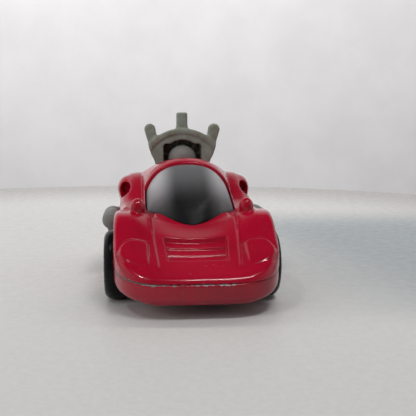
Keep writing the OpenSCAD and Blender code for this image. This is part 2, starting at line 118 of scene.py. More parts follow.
def even(field, *steps):
    """A flat field divided by its own slope, so that it reads as a distance near its zero line."""
    size = np.sqrt(sum(g * g for g in np.gradient(field, *steps)))
    return field / np.maximum(size, 0.04)


def box_field(x, y, z, centre, half, r):
    qx = np.abs(x - centre[0]) - (half[0] - r)
    qy = np.abs(y - centre[1]) - (half[1] - r)
    qz = np.abs(z - centre[2]) - (half[2] - r)
    outside = np.sqrt(np.maximum(qx, 0) ** 2 + np.maximum(qy, 0) ** 2 + np.maximum(qz, 0) ** 2)
    return outside + np.minimum(np.maximum(qx, np.maximum(qy, qz)), 0) - r


def egg_field(x, y, z, centre, radii):
    """Ellipsoid, close to a distance near its surface."""
    px, py, pz = ((p - c) / r for p, c, r in zip((x, y, z), centre, radii))
    k0 = np.sqrt(px * px + py * py + pz * pz)
    k1 = np.sqrt((px / radii[0]) ** 2 + (py / radii[1]) ** 2 + (pz / radii[2]) ** 2)
    return k0 * (k0 - 1) / np.maximum(k1, 1e-4)


def stick_field(x, y, z, start, end, r_start, r_end):
    """Round stick between two points, with a radius at each end."""
    start, end = np.array(start, float), np.array(end, float)
    d = end - start
    u = ((x - start[0]) * d[0] + (y - start[1]) * d[1] + (z - start[2]) * d[2]) / (d @ d)
    u = np.clip(u, 0, 1)
    away = np.sqrt((x - start[0] - u * d[0]) ** 2 + (y - start[1] - u * d[1]) ** 2
                   + (z - start[2] - u * d[2]) ** 2)
    return away - (r_start + (r_end - r_start) * u)


# ---- Meshing -------------------------------------------------------------------------

class Grid:
    """Sample places for a field: x, y and z arrays that broadcast against each other."""

    def __init__(self, low, high, h, mirrored=False):
        self.h = h
        self.mirrored = mirrored
        low = np.array(low, float)
        if mirrored:
            low[0] = h / 2
        count = np.ceil((np.array(high, float) - low) / h).astype(int) + 1
        self.axes = [low[i] + h * np.arange(count[i]) for i in range(3)]
        self.x = self.axes[0].astype(np.float32)[:, None, None]
        self.y = self.axes[1].astype(np.float32)[None, :, None]
        self.z = self.axes[2].astype(np.float32)[None, None, :]
        self.low = low

    def whole(self, field):
        field = np.broadcast_to(field, tuple(len(a) for a in self.axes))
        if not self.mirrored:
            return field, self.low
        low = self.low.copy()
        low[0] = -self.axes[0][-1]
        return np.concatenate([field[::-1], field], axis=0), low


def sample(field, at):
    """Trilinear values of a field at places given in grid steps."""
    i = np.clip(np.floor(at).astype(int), 0, np.array(field.shape) - 2)
    u = at - i
    total = 0
    for corner in range(8):
        o = np.array([corner & 1, corner >> 1 & 1, corner >> 2 & 1])
        weight = np.prod(np.where(o, u, 1 - u), axis=1)
        p = i + o
        total = total + weight * field[p[:, 0], p[:, 1], p[:, 2]]
    return total


def surface_net(grid, field):
    """Vertices in millimetres and quads of a field's zero surface."""
    field, low = grid.whole(field.astype(np.float32))
    inside = field < 0
    cells = tuple(n - 1 for n in field.shape)
    count = np.zeros(cells, np.int8)
    for o in np.ndindex(2, 2, 2):
        count += inside[o[0]:o[0] + cells[0], o[1]:o[1] + cells[1], o[2]:o[2] + cells[2]]
    active = (count > 0) & (count < 8)
    index = -np.ones(cells, np.int32)
    spots = np.argwhere(active)
    index[active] = np.arange(len(spots))
    total = np.zeros((len(spots), 3))
    hits = np.zeros(len(spots))
    for axis in range(3):
        for side in np.ndindex(2, 2):
            o = np.insert(np.array(side), axis, 0)
            a = spots + o
            b = a.copy()
            b[:, axis] += 1
            fa = field[a[:, 0], a[:, 1], a[:, 2]]
            fb = field[b[:, 0], b[:, 1], b[:, 2]]
            crossed = (fa < 0) != (fb < 0)
            u = np.where(crossed, fa / np.where(crossed, fa - fb, 1), 0)
            point = a.astype(float)
            point[:, axis] += u
            total += point * crossed[:, None]
            hits += crossed
    spot = total / hits[:, None]
    slope = [g.astype(np.float32) for g in np.gradient(field)]
    for _ in range(3):
        value = sample(field, spot)
        g = np.stack([sample(s, spot) for s in slope], axis=1)
        move = value[:, None] * g / np.maximum((g * g).sum(axis=1), 0.05)[:, None]
        spot = spot - np.clip(move * 0.8, -0.3, 0.3)
    quads = []
    for axis in range(3):
        u, v = [a for a in range(3) if a != axis]
        lo = [slice(1, None)] * 3
        lo[axis] = slice(None)
        first = [slice(None)] * 3
        second = [slice(None)] * 3
        first[axis] = slice(None, -1)
        second[axis] = slice(1, None)
        change = inside[tuple(first)] != inside[tuple(second)]
        edge = np.argwhere(change)
        edge = edge[(edge[:, u] > 0) & (edge[:, v] > 0) & (edge[:, u] < cells[u]) & (edge[:, v] < cells[v])]
        corners = []
        for du, dv in ((1, 1), (0, 1), (0, 0), (1, 0)):
            c = edge.copy()
            c[:, u] -= du
            c[:, v] -= dv
            corners.append(index[c[:, 0], c[:, 1], c[:, 2]])
        quad = np.stack(corners, axis=1)
        solid_first = inside[edge[:, 0], edge[:, 1], edge[:, 2]]
        flip = solid_first if axis == 1 else ~solid_first
        quad[flip] = quad[flip][:, ::-1]
        quads.append(quad)
    quads = np.concatenate(quads)
    quads = quads[(quads >= 0).all(axis=1)]
    return low + spot * grid.h, quads


def new_object(name, vertices, faces, material):
    """Mesh object from millimetre vertices; smooth shaded."""
    mesh = bpy.data.meshes.new(name)
    mesh.from_pydata((np.asarray(vertices) * MM).tolist(), [], np.asarray(faces).tolist()
                     if isinstance(faces, np.ndarray) else faces)
    mesh.materials.append(material)
    mesh.validate()
    mesh.update()
    mesh.polygons.foreach_set("use_smooth", [True] * len(mesh.polygons))
    obj = bpy.data.objects.new(name, mesh)
    bpy.context.scene.collection.objects.link(obj)
    return obj


def keep_big_pieces(vertices, quads, least=60):
    """Drops crumbs: groups of joined quads with fewer than `least` vertices."""
    group = np.arange(len(vertices))
    while True:
        low = group[quads].min(axis=1)
        new = group.copy()
        for k in range(quads.shape[1]):
            np.minimum.at(new, quads[:, k], low)
        new = new[new]
        if (new == group).all():
            break
        group = new
    size = np.bincount(group, minlength=len(vertices))
    quads = quads[size[group[quads[:, 0]]] >= least]
    used = np.unique(quads)
    renumber = -np.ones(len(vertices), int)
    renumber[used] = np.arange(len(used))
    return vertices[used], renumber[quads]


def field_object(name, grid, field, material):
    return new_object(name, *keep_big_pieces(*surface_net(grid, field)), material)


# ---- Materials -----------------------------------------------------------------------

class Nodes:
    """Short calls for building one procedural material."""

    def __init__(self, name, base, roughness, **sockets):
        self.material = bpy.data.materials.new(name)
        self.material.use_nodes = True
        self.tree = self.material.node_tree
        self.shader = self.tree.nodes["Principled BSDF"]
        self.shader.inputs["Base Color"].default_value = (*base, 1)
        self.shader.inputs["Roughness"].default_value = roughness
        for key, value in sockets.items():
            self.shader.inputs[key.replace("_", " ")].default_value = value
        coordinates = self.tree.nodes.new("ShaderNodeTexCoord")
        self.place = coordinates.outputs["Object"]

    def link(self, value, socket):
        if isinstance(value, bpy.types.NodeSocket):
            self.tree.links.new(value, socket)
        else:
            socket.default_value = value

    def math(self, kind, a, b=0.0, clamp=False):
        node = self.tree.nodes.new("ShaderNodeMath")
        node.operation = kind
        node.use_clamp = clamp
        self.link(a, node.inputs[0])
        self.link(b, node.inputs[1])
        return node.outputs[0]

    def axis(self, name):
        node = self.tree.nodes.new("ShaderNodeSeparateXYZ")
        self.tree.links.new(self.place, node.inputs[0])
        return node.outputs[name]

    def stretch(self, scale):
        node = self.tree.nodes.new("ShaderNodeMapping")
        self.tree.links.new(self.place, node.inputs["Vector"])
        node.inputs["Scale"].default_value = scale
        return node.outputs[0]

    def noise(self, scale, detail=3.0, rough=0.55, vector=None, offset=0.0):
        node = self.tree.nodes.new("ShaderNodeTexNoise")
        node.noise_dimensions = "4D"
        node.inputs["W"].default_value = offset
        node.inputs["Scale"].default_value = scale
        node.inputs["Detail"].default_value = detail
        node.inputs["Roughness"].default_value = rough
        self.tree.links.new(vector or self.place, node.inputs["Vector"])
        return node.outputs["Fac"]

    def ramp(self, value, low, high, out_low=0.0, out_high=1.0):
        node = self.tree.nodes.new("ShaderNodeMapRange")
        node.interpolation_type = "SMOOTHSTEP"
        self.link(value, node.inputs["Value"])
        for key, number in (("From Min", low), ("From Max", high), ("To Min", out_low), ("To Max", out_high)):
            node.inputs[key].default_value = number
        return node.outputs["Result"]

    def edges(self, low, high):
        node = self.tree.nodes.new("ShaderNodeNewGeometry")
        return self.ramp(node.outputs["Pointiness"], low, high)

    def mix(self, factor, a, b):
        node = self.tree.nodes.new("ShaderNodeMix")
        node.data_type = "RGBA"
        self.link(factor, node.inputs["Factor"])
        self.link(a if isinstance(a, bpy.types.NodeSocket) else (*a, 1), node.inputs["A"])
        self.link(b if isinstance(b, bpy.types.NodeSocket) else (*b, 1), node.inputs["B"])
        return node.outputs["Result"]

    def bump(self, height, distance, strength=1.0):
        node = self.tree.nodes.new("ShaderNodeBump")
        node.inputs["Distance"].default_value = distance
        node.inputs["Strength"].default_value = strength
        self.tree.links.new(height, node.inputs["Height"])
        previous = self.shader.inputs["Normal"]
        if previous.is_linked:
            self.tree.links.new(previous.links[0].from_socket, node.inputs["Normal"])
        self.tree.links.new(node.outputs["Normal"], previous)

    def set(self, key, value):
        self.link(value, self.shader.inputs[key])


SILVER = (0.42, 0.42, 0.42)


def painted(name, red, dull, roughness, seed, wear, nicks):
    """Enamel over zinc: chips along the joint line and on raised edges, fine dust, orange peel."""
    m = Nodes(name, red, roughness, Coat_Weight=0.5, Coat_Roughness=0.05, Specular_IOR_Level=0.22)
    cloud = m.noise(90, 4, 0.6, offset=seed)
    speck = m.noise(900, 3, 0.6, offset=seed + 3)
    colour = m.mix(m.ramp(cloud, 0.35, 0.75), red, dull)
    chip_noise = m.noise(1050, 4, 0.65, offset=seed + 7)
    patch = m.noise(150, 2, 0.5, offset=seed + 11)
    joint = m.math("ADD", m.math("MULTIPLY", m.axis("Y"), JOINT_SLOPE),
                   (JOINT_NOSE - JOINT_SLOPE * NOSE_Y) * MM)
    from_joint = m.math("ABSOLUTE", m.math("SUBTRACT", m.axis("Z"), joint))
    near = m.math("ADD", m.ramp(from_joint, 0.05 * MM, 0.4 * MM, 0.65, 0.0),
                  m.ramp(from_joint, 0.3 * MM, 1.2 * MM, 0.35, 0.0))
    line = m.math("MULTIPLY", m.ramp(from_joint, 0.06 * MM, 0.16 * MM, 1.0, 0.0),
                  m.math("MULTIPLY", m.ramp(m.axis("X"), -9 * MM, -5 * MM, 0.3, 0.0),
                         m.ramp(m.axis("Y"), (NOSE_Y + 9) * MM, (NOSE_Y + 12) * MM, 1.0, 0.0)))
    front = m.math("MULTIPLY", m.ramp(m.axis("Y"), (NOSE_Y + 9) * MM, (NOSE_Y + 12) * MM, 1.0, 0.0),
                   m.ramp(m.axis("X"), 5 * MM, 9 * MM, 1.0, 0.2))
    edge = m.edges(0.55, 0.65)
    score = m.math("ADD", m.math("MULTIPLY", near, m.math("MULTIPLY", front, wear)),
                   m.math("MULTIPLY", edge, 0.05))
    score = m.math("ADD", m.math("ADD", score, line), m.math("MULTIPLY", patch, 0.32))
    score = m.math("ADD", score, m.math("MULTIPLY", chip_noise, 0.85))
    chip = m.ramp(score, 0.83, 0.85)
    nick = m.ramp(m.noise(430, 2, 0.5, offset=seed + 17), nicks, nicks + 0.01)
    bare = m.math("MAXIMUM", chip, nick, clamp=True)
    metal = m.mix(speck, SILVER, (0.2, 0.2, 0.2))
    m.set("Base Color", m.mix(bare, colour, metal))
    m.set("Metallic", m.math("MULTIPLY", bare, 0.85))
    grime = m.math("ADD", m.ramp(speck, 0.4, 0.8, 0.0, 0.06), roughness)
    m.set("Roughness", m.math("ADD", grime, m.math("MULTIPLY", bare, 0.2)))
    m.set("Coat Weight", m.math("SUBTRACT", 0.5, m.math("MULTIPLY", bare, 0.5), clamp=True))
    m.bump(m.noise(420, 2, 0.5, offset=seed + 21), 0.02 * MM, 0.35)
    m.bump(m.math("SUBTRACT", 1.0, bare), 0.06 * MM, 0.8)
    return m.material


def grey_plastic(name, light, dark, brown, seed):
    """Moulded grey plastic with patches of brown dust and rubbed edges."""
    m = Nodes(name, light, 0.55)
    cloud = m.noise(160, 4, 0.65, offset=seed)
    dust = m.noise(330, 5, 0.7, offset=seed + 5)
    colour = m.mix(m.ramp(cloud, 0.3, 0.7), dark, light)
    colour = m.mix(m.ramp(dust, 0.47, 0.67, 0.0, 0.7), colour, brown)
    rubbed = tuple(min(1, 1.7 * c) for c in light)
    colour = m.mix(m.math("MULTIPLY", m.edges(0.52, 0.62), 0.35), colour, rubbed)
    m.set("Base Color", colour)
    m.set("Roughness", m.ramp(dust, 0.2, 0.8, 0.42, 0.75))
    m.bump(m.noise(1500, 3, 0.6, offset=seed + 9), 0.03 * MM, 0.5)
    return m.material


def rubber(name):
    black = (0.004, 0.004, 0.005)
    m = Nodes(name, black, 0.22, Specular_IOR_Level=0.14)
    scuff = m.noise(700, 4, 0.6, vector=m.stretch((0.25, 1, 1)), offset=2.0)
    dust = m.noise(120, 4, 0.6, offset=6.0)
    m.set("Base Color", m.mix(m.ramp(dust, 0.45, 0.85, 0.0, 0.3), black, (0.013, 0.012, 0.011)))
    m.set("Roughness", m.ramp(scuff, 0.25, 0.8, 0.16, 0.42))
    m.bump(scuff, 0.02 * MM, 0.4)
    return m.material


def smoked(name):
    m = Nodes(name, (0.006, 0.006, 0.008), 0.36, Specular_IOR_Level=0.08)
    streak = m.noise(210, 4, 0.6, vector=m.stretch((1, 0.15, 0.2)), offset=4.0)
    dust = m.noise(900, 4, 0.7, offset=8.0)
    # Painted reflection: the glass is lifted towards pale grey as a sheen at its sides (more so higher up)
    # and over its top; a little dust noise is added to the top part.
    sides = m.ramp(m.math("ABSOLUTE", m.axis("X")), 2.5 * MM, 7.5 * MM)
    raised = m.ramp(m.axis("Z"), 15 * MM, 22 * MM, 0.25, 1.0)
    above = m.math("ADD", m.ramp(m.axis("Z"), 17 * MM, 23 * MM, 0.01, 0.3), m.ramp(dust, 0.5, 0.9, 0.0, 0.06))
    sheen_and_dust = m.math("ADD", m.math("MULTIPLY", sides, raised), above, clamp=True)
    m.set("Base Color", m.mix(sheen_and_dust, (0.003, 0.003, 0.004), (0.38, 0.37, 0.38)))
    m.set("Roughness", m.ramp(streak, 0.35, 0.75, 0.34, 0.5))
    m.bump(streak, 0.012 * MM, 0.3)
    return m.material


def moulded(name, base, roughness, seed, speckle=0.25):
    m = Nodes(name, base, roughness)
    cloud = m.noise(250, 4, 0.6, offset=seed)
    m.set("Base Color", m.mix(m.ramp(cloud, 0.3, 0.8, 0.0, speckle), base, tuple(0.35 * c for c in base)))
    m.set("Roughness", m.ramp(cloud, 0.2, 0.8, roughness - 0.08, roughness + 0.15))
    m.bump(m.noise(1800, 2, 0.5, offset=seed + 4), 0.02 * MM, 0.4)
    return m.material


def steel(name, base, seed):
    m = Nodes(name, base, 0.3, Metallic=1.0)
    brushed = m.noise(1200, 3, 0.6, vector=m.stretch((0.08, 1, 1)), offset=seed)
    m.set("Base Color", m.mix(m.ramp(brushed, 0.3, 0.8, 0.0, 0.4), base, tuple(0.55 * c for c in base)))
    m.set("Roughness", m.ramp(brushed, 0.2, 0.8, 0.2, 0.42))
    m.bump(brushed, 0.01 * MM, 0.4)
    return m.material


BODY_RED = painted("body_paint_look", (0.37, 0.0003, 0.019), (0.3, 0.0002, 0.014), 0.23, 1.0, 0.17, 0.81)
# The base casting uses the body's red made darker and pinker: partly dust, partly painted shade and a painted
# reflection of the table.
PAN_RED_SHADED = painted("base_paint_look", (0.34, 0.006, 0.024), (0.2, 0.008, 0.018), 0.3, 31.0, 0.265, 0.76)
GREY = grey_plastic("grey_plastic_look", (0.27, 0.3, 0.26), (0.175, 0.2, 0.165), (0.19, 0.14, 0.085), 1.0)
POD_GREY = grey_plastic("pod_plastic_look", (0.21, 0.21, 0.205), (0.15, 0.155, 0.145),
                        (0.16, 0.13, 0.1), 14.0)
CONE_GREY = grey_plastic("cone_plastic_look", (0.21, 0.205, 0.19), (0.15, 0.145, 0.13),
                         (0.16, 0.12, 0.085), 24.0)
TYRE = rubber("tyre_look")
SMOKED = smoked("smoked_look")
HUB = moulded("hub_look", (0.16, 0.16, 0.165), 0.32, 3.0)
BLACK = moulded("black_plastic_look", (0.014, 0.014, 0.015), 0.45, 6.0)
MOTOR = moulded("motor_plastic_look", (0.55, 0.56, 0.53), 0.35, 9.0, 0.15)
GEAR = moulded("gear_plastic_look", (0.72, 0.7, 0.6), 0.4, 12.0, 0.15)
STEEL = steel("steel_look", (0.6, 0.6, 0.58), 2.0)
SPRING = steel("spring_steel_look", (0.25, 0.28, 0.36), 5.0)


# ---- Body casting --------------------------------------------------------------------

# Heights along the car's middle and along its crests: (from the nose, height)
MIDDLE = [(0, 6.3), (0.5, 6.9), (1.4, 7.4), (6, 9.1), (13, 11.6), (18.5, 13.2), (24, 15.6), (31, 22.7),
          (34.5, 24.4), (37.5, 25.1), (43, 24.1), (48, 21.2), (53, 18.8), (60, 17), (66, 14.6),
          (LENGTH, 12.6)]
RIDGE = [(0, 6.3), (0.5, 6.9), (1.4, 7.4), (3.5, 8.3), (10, 11.0), (15, 13.4), (20, 15.4), (24, 15.9),
         (34, 16.4), (LENGTH, 16.4)]
CREST = [(0, 6.3), (0.5, 6.9), (1.4, 7.4), (4, 8.8), (11, 12.4), (15, 15.1), (18, 16.1), (22, 16.1),
         (28, 15.5), (34, 16.4), (40, 19.2), (45, 21.0), (49, 21.2), (54, 20.2), (60, 18.1), (66, 14.6),
         (LENGTH, 12.6)]
NOSE_ROUND = 11.2
TAIL_ROUND = 6.5
OPENING_FRONT = 19.5
OPENING_BACK = 34.5
OPENING_HALF = 8.8
VENT_FRONT, VENT_BACK = 6.3, 13.4
VENT_RIBS = (8.9, 11.05)


def plan_field(x, t, inset=0.0):
    """Outline of the castings seen from above, negative inside; even() makes a distance of it."""
    width = HALF_WIDTH - inset + 0.2 * step(6, 12, t) * step(27, 21, t) - 0.15 * step(22, 32, t)
    nose = np.clip(1 - (t - inset) / NOSE_ROUND, 0, 1.3)
    tail = np.clip(1 - (LENGTH - inset - t) / TAIL_ROUND, 0, 1.3)
    front = (nose ** 2 + (x / width) ** 3.9 - 1) * 12
    back = ((tail ** 2.6 + (x / width) ** 2.6) ** (1 / 2.6) - 1) * width
    return np.maximum(front, back)


def opening_edge(x):
    """Front edge of the cockpit opening, a shallow V: distance from the nose."""
    return OPENING_FRONT + 3.1 * np.minimum(x / 5.6, 1) ** 1.6 + 0.3 * np.maximum(x - 5.6, 0)


def opening_field(x, t, grow=0.0):
    """Cockpit opening seen from above, negative inside, with straight sides behind the V."""
    return both((opening_edge(x) - t) * 0.8, x - OPENING_HALF, 1.4) - grow


def headlight_field(x, t):
    """D-shaped headlight cover seen from above."""
    inner = 8.8 - x
    outer = x - 14.0
    front = 4.1 - t + np.clip(x - 10, 0, 9) * 0.4
    back = t - 10.6
    corner = (x - 12.9) * 0.8 + (t - 9.9) * 0.6 - 0.2
    side = np.maximum(inner, front)
    side = both(side, outer, 2.6)
    side = both(side, back, 0.8)
    return both(side, corner, 1.6)


def skin(x, t):
    """Height of the body's upper skin, without and with its surface detail."""
    middle, crest = curve(MIDDLE, t), curve(CREST, t)
    ridge_z = np.minimum(crest, curve(RIDGE, t))
    ridge_x = 7.2 + 1.2 * np.clip((t - 3.5) / 16.5, 0, 1)
    roof = np.sqrt(np.clip(1 - np.minimum(1, x / 9.4) ** 2.2, 0, 1))
    low = np.where(x < ridge_x, middle + (ridge_z - middle) * (x / ridge_x) ** 2,
                   ridge_z + (crest - ridge_z) * step(ridge_x - 1.5, 12.4, x))
    high = crest + (middle - crest) * roof
    base = np.where(middle > crest, high, low)
    on_hood = step(2.8, 4.2, t) * step(21.5, 20.5, t)
    ridge = 0.24 * np.exp(-((x - ridge_x) / 0.26) ** 2) * on_hood
    vent_half = 5.25 + 0.5 * (t - VENT_FRONT) / (VENT_BACK - VENT_FRONT)
    vent_edge = np.maximum(x - vent_half, np.maximum(VENT_FRONT - t, t - VENT_BACK))
    ribs = sum(np.exp(-((t - r) / 0.12) ** 2) for r in VENT_RIBS)
    vent = -0.85 * step(0.16, -0.16, vent_edge) * (1 - 0.6 * np.clip(ribs, 0, 1))
    lamp = headlight_field(x, t)
    cover = 0.36 * step(0.22, -0.25, lamp) * step(2.8, 6.2, t)
    groove = -0.18 * np.exp(-((lamp - 0.38) / 0.2) ** 2) * step(6.5, 8.0, t + (x - 9) * 0.6)
    ledge = -0.35 * step(8.9, 8.5, x) * step(6.9, 7.3, x) * step(19.6, 20.2, t) * step(24.5, 23.5, t)
    return base, base + ridge + vent + cover + groove + ledge


def joint_height(t):
    return JOINT_NOSE + JOINT_SLOPE * t


def rim_height(t):
    """Lower edge of the body between the wheels."""
    front_end = FRONT_AXLE - ARCH_RADIUS
    rear_end = REAR_AXLE + ARCH_RADIUS
    low = np.where(t < front_end, joint_height(t), 5.0)
    return np.where(t > rear_end, 6.6, low)


def body_object():
    g = Grid((0, NOSE_Y - 1, 3.5), (HALF_WIDTH + 1, NOSE_Y + LENGTH + 1, 26.5), FINE_STEP, mirrored=True)
    x, y, z = g.x, g.y, g.z
    t = y - NOSE_Y
    flat_x, flat_t = g.axes[0][:, None], (g.axes[1] - NOSE_Y)[None, :]
    base, detailed = skin(flat_x, flat_t)
    slope_x, slope_t = np.gradient(base, g.h)
    lean = np.sqrt(1 + np.minimum(slope_x ** 2 + slope_t ** 2, 9))
    top = (z - detailed[:, :, None].astype(np.float32)) / lean[:, :, None].astype(np.float32)
    side = even(plan_field(flat_x, flat_t), g.h, g.h)[:, :, None].astype(np.float32)
    lean_in = 0.08 * np.maximum(z - 9, 0) * step(26, 34, t) + 0.02 * np.maximum(z - 8.5, 0)
    corner = 1.25 + 2.2 * step(24, 40, t)
    outer = both(top, side + lean_in, corner)
    pocket = egg_field(x, t, z, (12.95, 41.2, 17.9), (1.3, 3.7, 1.95))
    lip = egg_field(x, t, z, (12.9, 46.4, 17.8), (1.75, 3.8, 2.5))
    outer = join(outer, lip, 0.9)
    outer = cut(outer, pocket, 0.3)
    mirror = egg_field(x, y, z, (10.45, -13.6, 16.65), (1.42, 1.6, 1.9))
    mirror = join(mirror, egg_field(x, y, z, (10.45, -11.9, 15.7), (0.95, 1.3, 1.2)), 0.5)
    stalk = stick_field(x, y, z, (9.3, -11.6, 15.6), (10.2, -11.9, 16.2), 0.7, 0.6)
    outer = join(outer, join(mirror, stalk, 0.6), 0.45)
    shell = cut(outer, outer + BODY_WALL, 0.3)
    rim = rim_height(flat_t)[:, :, None].astype(np.float32)
    shell = both(shell, rim + JOINT_GAP / 2 - z, 0.22)
    for axle in (FRONT_AXLE, REAR_AXLE):
        arch = np.sqrt((t - axle) ** 2 + (z - TYRE_RADIUS) ** 2) - ARCH_RADIUS
        arch = np.maximum(arch, ARCH_INNER - x)
        shell = cut(shell, arch, 0.45)
    plan = even(opening_field(flat_x, flat_t), g.h, g.h)[:, :, None].astype(np.float32)
    cockpit = np.maximum(plan, np.maximum(t - OPENING_BACK, 11.5 - z))
    shell = cut(shell, cockpit, 0.4)
    deck = np.maximum(np.abs(x) - 5.9, np.maximum(np.abs(y - 18.65) - 4.6, 9 - z))
    shell = cut(shell, deck, 0.3)
    return field_object("body_casting", g, shell, BODY_RED)


# ---- Base casting --------------------------------------------------------------------

PAN_BOTTOM = node_box("base_pan")[0][2]


def base_object():
    g = Grid((0, NOSE_Y - 1, 1.6), (HALF_WIDTH + 1, NOSE_Y + LENGTH + 1, 9.5), FINE_STEP, mirrored=True)
    x, y, z = g.x, g.y, g.z
    t = y - NOSE_Y
    flat_x, flat_t = g.axes[0][:, None], (g.axes[1] - NOSE_Y)[None, :]
    side = even(plan_field(flat_x, flat_t, 0.08), g.h, g.h)[:, :, None].astype(np.float32)
    lift = 0.17 * np.minimum(t, 10) * step(8, 10.5, x) * (t < 14)
    lift = lift + 1.6 * step(LENGTH - 8, LENGTH, t) ** 2
    bottom = PAN_BOTTOM + 0.02 + lift - z
    outer = both(side, bottom, 1.5)
    shell = cut(outer, outer + PAN_WALL, 0.3)
    rim = rim_height(flat_t)[:, :, None].astype(np.float32)
    shell = both(shell, z - rim + JOINT_GAP / 2, 0.25)
    for axle in (FRONT_AXLE, REAR_AXLE):
        away = np.sqrt((t - axle) ** 2 + (z - TYRE_RADIUS) ** 2) - ARCH_RADIUS
        well = np.maximum(away, ARCH_INNER - 0.1 - x)
        shell = cut(shell, well, 0.4)
    lug = box_field(x, y, z, (8.6, FRONT_AXLE + NOSE_Y, 5.4), (0.8, 2.0, 3.0), 0.3)
    shell = join(shell, lug, 0.3)
    hole = np.sqrt((y - FRONT_AXLE - NOSE_Y) ** 2 + (z - TYRE_RADIUS) ** 2) - 0.95
    shell = cut(shell, hole, 0.15)
    centre = ((MOTOR_LOW[1] + MOTOR_HIGH[1]) / 2, (MOTOR_HIGH[1] - MOTOR_LOW[1]) / 2)
    window = box_field(x, y, z, (0, centre[0], 2.5), (MOTOR_HIGH[0] + 0.7, centre[1] + 0.3, 6), 0.6)
    shell = cut(shell, window, 0.3)
    return field_object("base_casting", g, shell, PAN_RED_SHADED)


# ---- Canopy --------------------------------------------------------------------------

GLASS = [(18, 12.4), (19.7, 13.6), (22, 16.2), (25, 19.3), (28, 21.5), (32, 23.4), (36, 24.2)]


def canopy_object():
    g = Grid((0, NOSE_Y + 18.5, 11.5), (9.6, NOSE_Y + OPENING_BACK + 0.6, 25), FINE_STEP, mirrored=True)
    y, z = g.y, g.z
    flat_x, flat_t = g.axes[0][:, None], (g.axes[1] - NOSE_Y)[None, :]
    foot = 12.9 + 0.15 * (flat_t - OPENING_FRONT)
    top = curve(GLASS, flat_t)
    arch = np.sqrt(np.clip(1 - (flat_x / (OPENING_HALF + 0.15)) ** 2.5, 0, 1))
    dive = skin(flat_x, flat_t)[0] - 0.3 + 1.15 * (flat_t - opening_edge(flat_x))
    height = join(foot + (top - foot) * arch, dive, 0.9)
    slope_x, slope_t = np.gradient(height, g.h)
    lean = np.sqrt(1 + np.minimum(slope_x ** 2 + slope_t ** 2, 16))
    over = ((z - height[:, :, None]) / lean[:, :, None]).astype(np.float32)
    plan = even(opening_field(flat_x, flat_t, -0.12), g.h, g.h)[:, :, None].astype(np.float32)
    outer = both(over, plan, 0.25)
    shell = cut(outer, outer + GLASS_WALL, 0.2)
    shell = both(shell, y - NOSE_Y - OPENING_BACK + 0.1, 0.2)
    floor = (12.2 + 0.3 * np.clip(flat_t - OPENING_FRONT, -1, 9))[:, :, None].astype(np.float32)
    shell = both(shell, floor - z, 0.2)
    return field_object("canopy_glass", g, shell, SMOKED)


# ---- Turbine -------------------------------------------------------------------------

DUCT_Z = 24.1
CROWN_Z = 20.9
TURBINE_Y = COWL_LOW[1] + 0.3


def turbine_object():
    g = Grid((0, COWL_LOW[1] - 0.6, 15.8), (COWL_HIGH[0] + 0.6, COWL_HIGH[1] + 0.6, COWL_HIGH[2] + 0.6), 0.16,
             mirrored=True)
    x, y, z = g.x, g.y, g.z
    back = (y - TURBINE_Y) / 8.5
    crown = np.sqrt(x ** 2 + (z - CROWN_Z) ** 2) - (9.9 - 1.6 * np.clip(back, 0, 1) ** 2)
    flare = (x - (5.0 + 0.27 * (z - 18.4)) + 0.9 * np.clip(back, 0, 1)) / 1.04
    tub = both(both(crown, flare, 0.9), 16.6 - z, 0.4)
    tub = both(tub, np.maximum(TURBINE_Y - y, y - COWL_HIGH[1] + 0.15), 0.7)
    prong = stick_field(x, 0, z, (6.1, 0, 25.5), (7.3, 0, 30.8), 0.9, 1.25)
    prong = both(prong, np.abs(y - TURBINE_Y - 1.9) - 1.5, 0.6)
    fin_half = 1.22 + 0.25 * step(32, 30, z)
    fin = both(x - fin_half, z - COWL_HIGH[2] + 0.05, 0.5)
    fin = both(fin, np.abs(y - TURBINE_Y - 1.9 - 0.1 * (z - 30)) - 1.4, 0.5)
    fin = both(fin, 27 - z, 0.4)
    crest = np.abs(np.sqrt(x ** 2 + (z - CROWN_Z) ** 2) - 9.5) - 0.45
    rim = both(both(crest, flare, 0.5), np.abs(y - TURBINE_Y - 0.3) - 0.5, 0.4)
    whole = join(join(tub, prong, 0.9), join(fin, rim, 0.4), 0.7)
    duct = np.sqrt(x ** 2 + (z - DUCT_Z) ** 2) - (4.35 - 0.05 * (y - TURBINE_Y))
    corners = box_field(x, 0, z, (0, 0, 25.6), (4.3, 2, 1.9), 0.7)
    duct = np.maximum(np.minimum(duct, corners), y - TURBINE_Y - 6.5)
    whole = cut(whole, duct, 0.35)
    blades = 12
    angle = np.arctan2(z - DUCT_Z, x)
    radius = np.sqrt(x ** 2 + (z - DUCT_Z) ** 2)
    blade = np.abs(np.sin(blades / 2 * (angle + 0.35 * (y - TURBINE_Y)))) * radius * 2 / blades - 0.22
    blade = np.maximum(blade, np.maximum(np.abs(y - TURBINE_Y - 4.4) - 0.8, radius - 4.6))
    whole = join(whole, blade, 0.15)
    nozzle = np.sqrt(x ** 2 + (z - DUCT_Z) ** 2) - 3.0
    nozzle = np.maximum(nozzle, COWL_HIGH[1] - 1.6 - y)
    whole = cut(whole, nozzle, 0.3)
    return field_object("turbine_moulding", g, whole, GREY)


